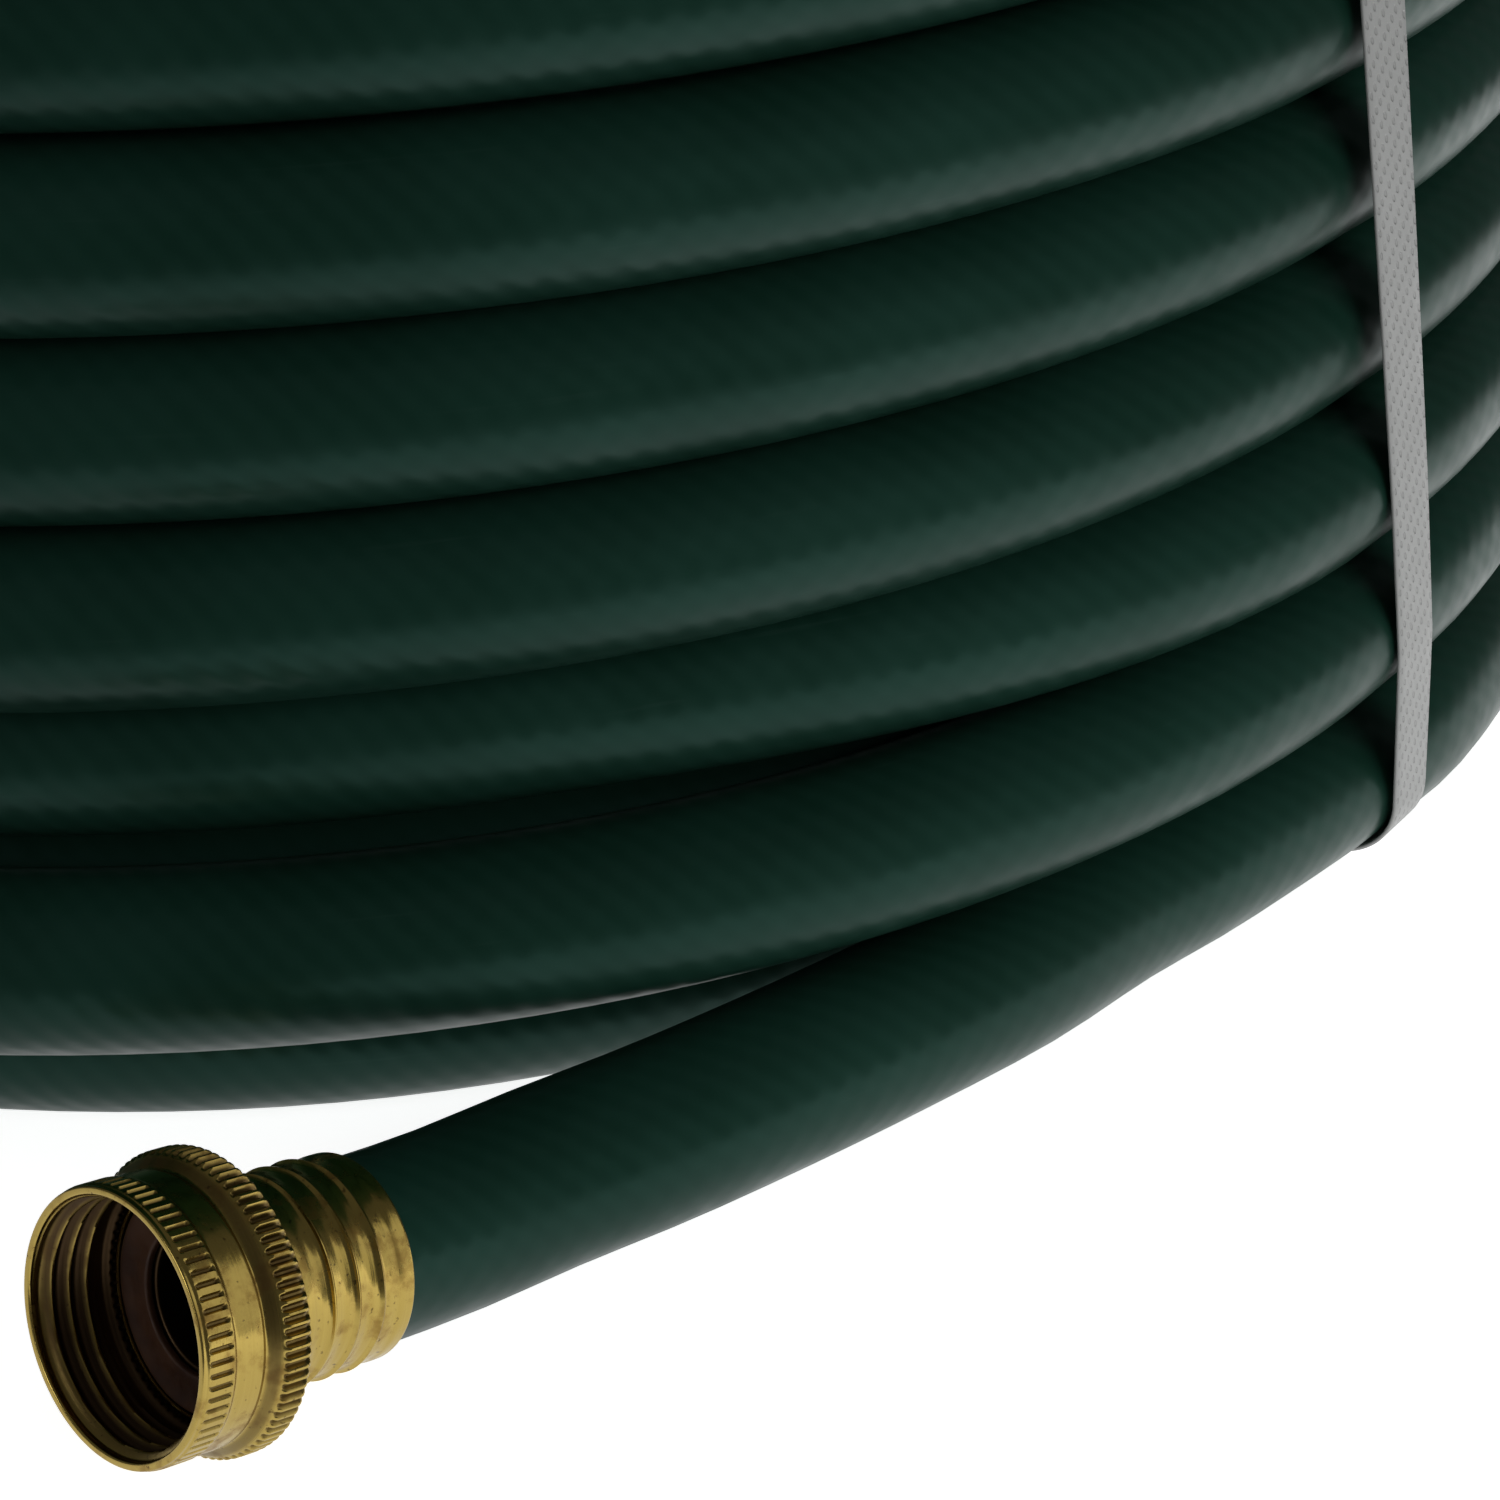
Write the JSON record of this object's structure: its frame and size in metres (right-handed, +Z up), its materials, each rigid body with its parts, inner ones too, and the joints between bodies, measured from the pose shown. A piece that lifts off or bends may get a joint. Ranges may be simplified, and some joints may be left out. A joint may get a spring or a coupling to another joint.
{
  "type": "soaker hose",
  "caption": "Coiled garden soaker hose with a brass swivel inlet coupling, a capped male end and straps round the coil.",
  "frame": {"origin": "on the floor, under the middle of the whole object's outline, with the coil's axis 23 mm behind it", "axes": "+Z up along the coil's axis; the free end with the swivel coupling leaves the coil at the front left, towards -X and -Y"},
  "size_m": [0.3539, 0.4017, 0.1654],
  "materials": {
    "hose": "semi-gloss, with the yarn under the cover just showing",
    "hose_liner": "smooth",
    "hose_yarn": "spiralled yarn",
    "brass": "stamped, slightly tarnished",
    "washer": "matt",
    "strap": "embossed"
  },
  "bodies": {
    "root": {"hose_coil": "hose", "inlet_hose_run": "hose", "outlet_hose_run": "hose", "inlet_hose_liner": "hose_liner", "inlet_hose_braid": "hose_yarn", "inlet_hose_cover": "hose", "inlet_ferrule": "brass", "inlet_tailpiece": "brass", "outlet_hose_liner": "hose_liner", "outlet_hose_braid": "hose_yarn", "outlet_hose_cover": "hose", "outlet_ferrule": "brass", "outlet_threaded_shank": "brass", "strap_front_right": "strap", "strap_back_right": "strap", "strap_back_left": "strap", "strap_front_left": "strap"},
    "inlet_nut": {"inlet_swivel_nut": "brass", "inlet_washer": "washer"},
    "cap_seat": {"cap_washer": "washer"},
    "end_cap": {"end_cap": "brass"}
  },
  "joints": [
    {"name": "nut_spin", "type": "hinge", "parent": "root", "child": "inlet_nut", "pos_m": [0.00962, -0.18239, 0.01555], "axis": [-0.7049, -0.676, 0.2147], "continuous": true},
    {"name": "cap_travel", "type": "slide", "parent": "root", "child": "cap_seat", "axis": [-0.9998, 0.0175, 0], "range_m": [0, 0.00883]},
    {"name": "cap_turn", "type": "hinge", "parent": "cap_seat", "child": "end_cap", "pos_m": [-0.01, 0.13538, 0.0164], "axis": [-0.9998, 0.0175, 0], "range_deg": [0, 1440]}
  ],
  "couplings": [
    {"joint": "cap_travel", "follows": "cap_turn", "m_per_rad": 0.00035152}
  ]
}
